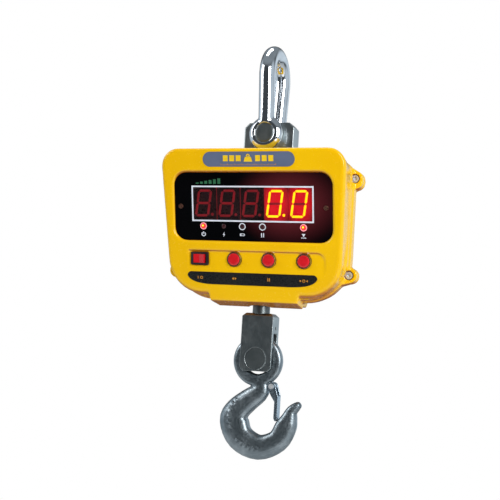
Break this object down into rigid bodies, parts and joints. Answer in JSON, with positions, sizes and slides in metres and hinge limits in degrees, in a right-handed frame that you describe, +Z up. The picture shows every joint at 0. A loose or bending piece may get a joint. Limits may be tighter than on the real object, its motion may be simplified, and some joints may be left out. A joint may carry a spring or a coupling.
{
  "type": "crane scale",
  "caption": "Hanging crane scale: bow shackle, load cell in a two-part case with an LED display and push buttons, and a swivel safety hook below.",
  "frame": {"origin": "inside of the shackle bow's crown, where the hook that carries the scale bears", "axes": "+Z up along the load line, the display faces -Y, +X to the right of the display"},
  "size_m": [0.228, 0.1129, 0.4791],
  "materials": {
    "chrome_steel": "polished",
    "dark_steel": "satin",
    "machined_steel": "satin",
    "gauge_film": "matte",
    "white_sealant": "matte",
    "black_rubber": "matte",
    "zinc_steel": "satin",
    "yellow_paint": "gloss",
    "black_acrylic": "gloss",
    "red_filter": "gloss",
    "circuit_board": "satin",
    "brass": "satin",
    "red_led": "gloss",
    "blue_label": "satin",
    "black_label": "satin",
    "battery_case": "matte",
    "black_plastic": "satin",
    "red_plastic": "gloss",
    "bearing_steel": "polished",
    "forged_zinc": "satin",
    "digit_plastic": "satin",
    "button_ring": "satin",
    "zinc_sheet": "satin"
  },
  "bodies": {
    "shackle": {"shackle": "chrome_steel", "shackle_pin": "dark_steel"},
    "case": {"load_cell": "machined_steel", "strain_gauges": "gauge_film", "gauge_sealant": "white_sealant", "neck_seal": "black_rubber", "mount_plate": "zinc_steel", "mount_plate_screws": "zinc_steel", "front_shell": "yellow_paint", "rear_shell": "yellow_paint", "case_gasket": "black_rubber", "case_screws": "zinc_steel", "display_panel": "black_acrylic", "panel_screws": "zinc_steel", "display_filter": "red_filter", "digit_module_1": "digit_plastic", "digit_module_2": "digit_plastic", "digit_module_3": "digit_plastic", "digit_module_4": "digit_plastic", "digit_module_5": "digit_plastic", "display_board": "circuit_board", "board_standoffs": "brass", "board_screws": "zinc_steel", "indicator_leds": "red_led", "upper_label": "blue_label", "lower_label": "black_label", "main_board": "circuit_board", "main_board_standoffs": "brass", "receiver_module": "circuit_board", "receiver_antenna": "brass", "battery_left": "battery_case", "battery_right": "battery_case", "battery_bar": "zinc_steel", "battery_bar_screws": "zinc_steel", "charge_socket": "black_plastic", "charge_socket_nut": "zinc_steel", "rocker_housing": "black_plastic", "button_housing_1": "button_ring", "button_housing_2": "button_ring", "button_housing_3": "button_ring", "button_nuts": "zinc_steel", "bearing_lower_race": "bearing_steel", "bearing_balls": "bearing_steel"},
    "rocker": {"rocker": "red_plastic"},
    "button_1": {"button_cap_1": "red_plastic"},
    "button_2": {"button_cap_2": "red_plastic"},
    "button_3": {"button_cap_3": "red_plastic"},
    "swivel": {"bearing_upper_race": "bearing_steel", "load_rod": "dark_steel", "rod_nut": "zinc_steel", "nut_pin": "zinc_steel", "clevis_block": "machined_steel", "clevis_screw": "dark_steel", "hook_pin": "dark_steel"},
    "hook": {"hook": "forged_zinc", "latch_pin": "zinc_steel", "latch_spring": "zinc_steel"},
    "latch": {"latch": "zinc_sheet"}
  },
  "joints": [
    {"name": "case_swing", "type": "hinge", "parent": "shackle", "child": "case", "pos_m": [0, 0, -0.089], "axis": [0, 1, 0], "range_deg": [-90, 90]},
    {"name": "rod_swivel", "type": "hinge", "parent": "case", "child": "swivel", "pos_m": [0, 0, -0.304], "axis": [0, 0, 1], "continuous": true},
    {"name": "hook_swing", "type": "hinge", "parent": "swivel", "child": "hook", "pos_m": [0, 0, -0.3464], "axis": [0, 1, 0], "range_deg": [-75, 75]},
    {"name": "latch_open", "type": "hinge", "parent": "hook", "child": "latch", "pos_m": [0.019, 0, -0.3765], "axis": [0, 1, 0], "range_deg": [0, 26], "stiffness_Nm_per_rad": 0.02, "springref_deg": -34.38},
    {"name": "rocker_tilt", "type": "hinge", "parent": "case", "child": "rocker", "pos_m": [-0.0628, -0.04081, -0.23675], "axis": [0, -0.1736, 0.9848], "range_deg": [0, 18]},
    {"name": "button_1_press", "type": "slide", "parent": "case", "child": "button_1", "axis": [0, 0.9848, 0.1736], "range_m": [0, 0.0015], "stiffness_N_per_m": 600, "springref_m": -0.002},
    {"name": "button_2_press", "type": "slide", "parent": "case", "child": "button_2", "axis": [0, 0.9848, 0.1736], "range_m": [0, 0.0015], "stiffness_N_per_m": 600, "springref_m": -0.002},
    {"name": "button_3_press", "type": "slide", "parent": "case", "child": "button_3", "axis": [0, 0.9848, 0.1736], "range_m": [0, 0.0015], "stiffness_N_per_m": 600, "springref_m": -0.002}
  ]
}
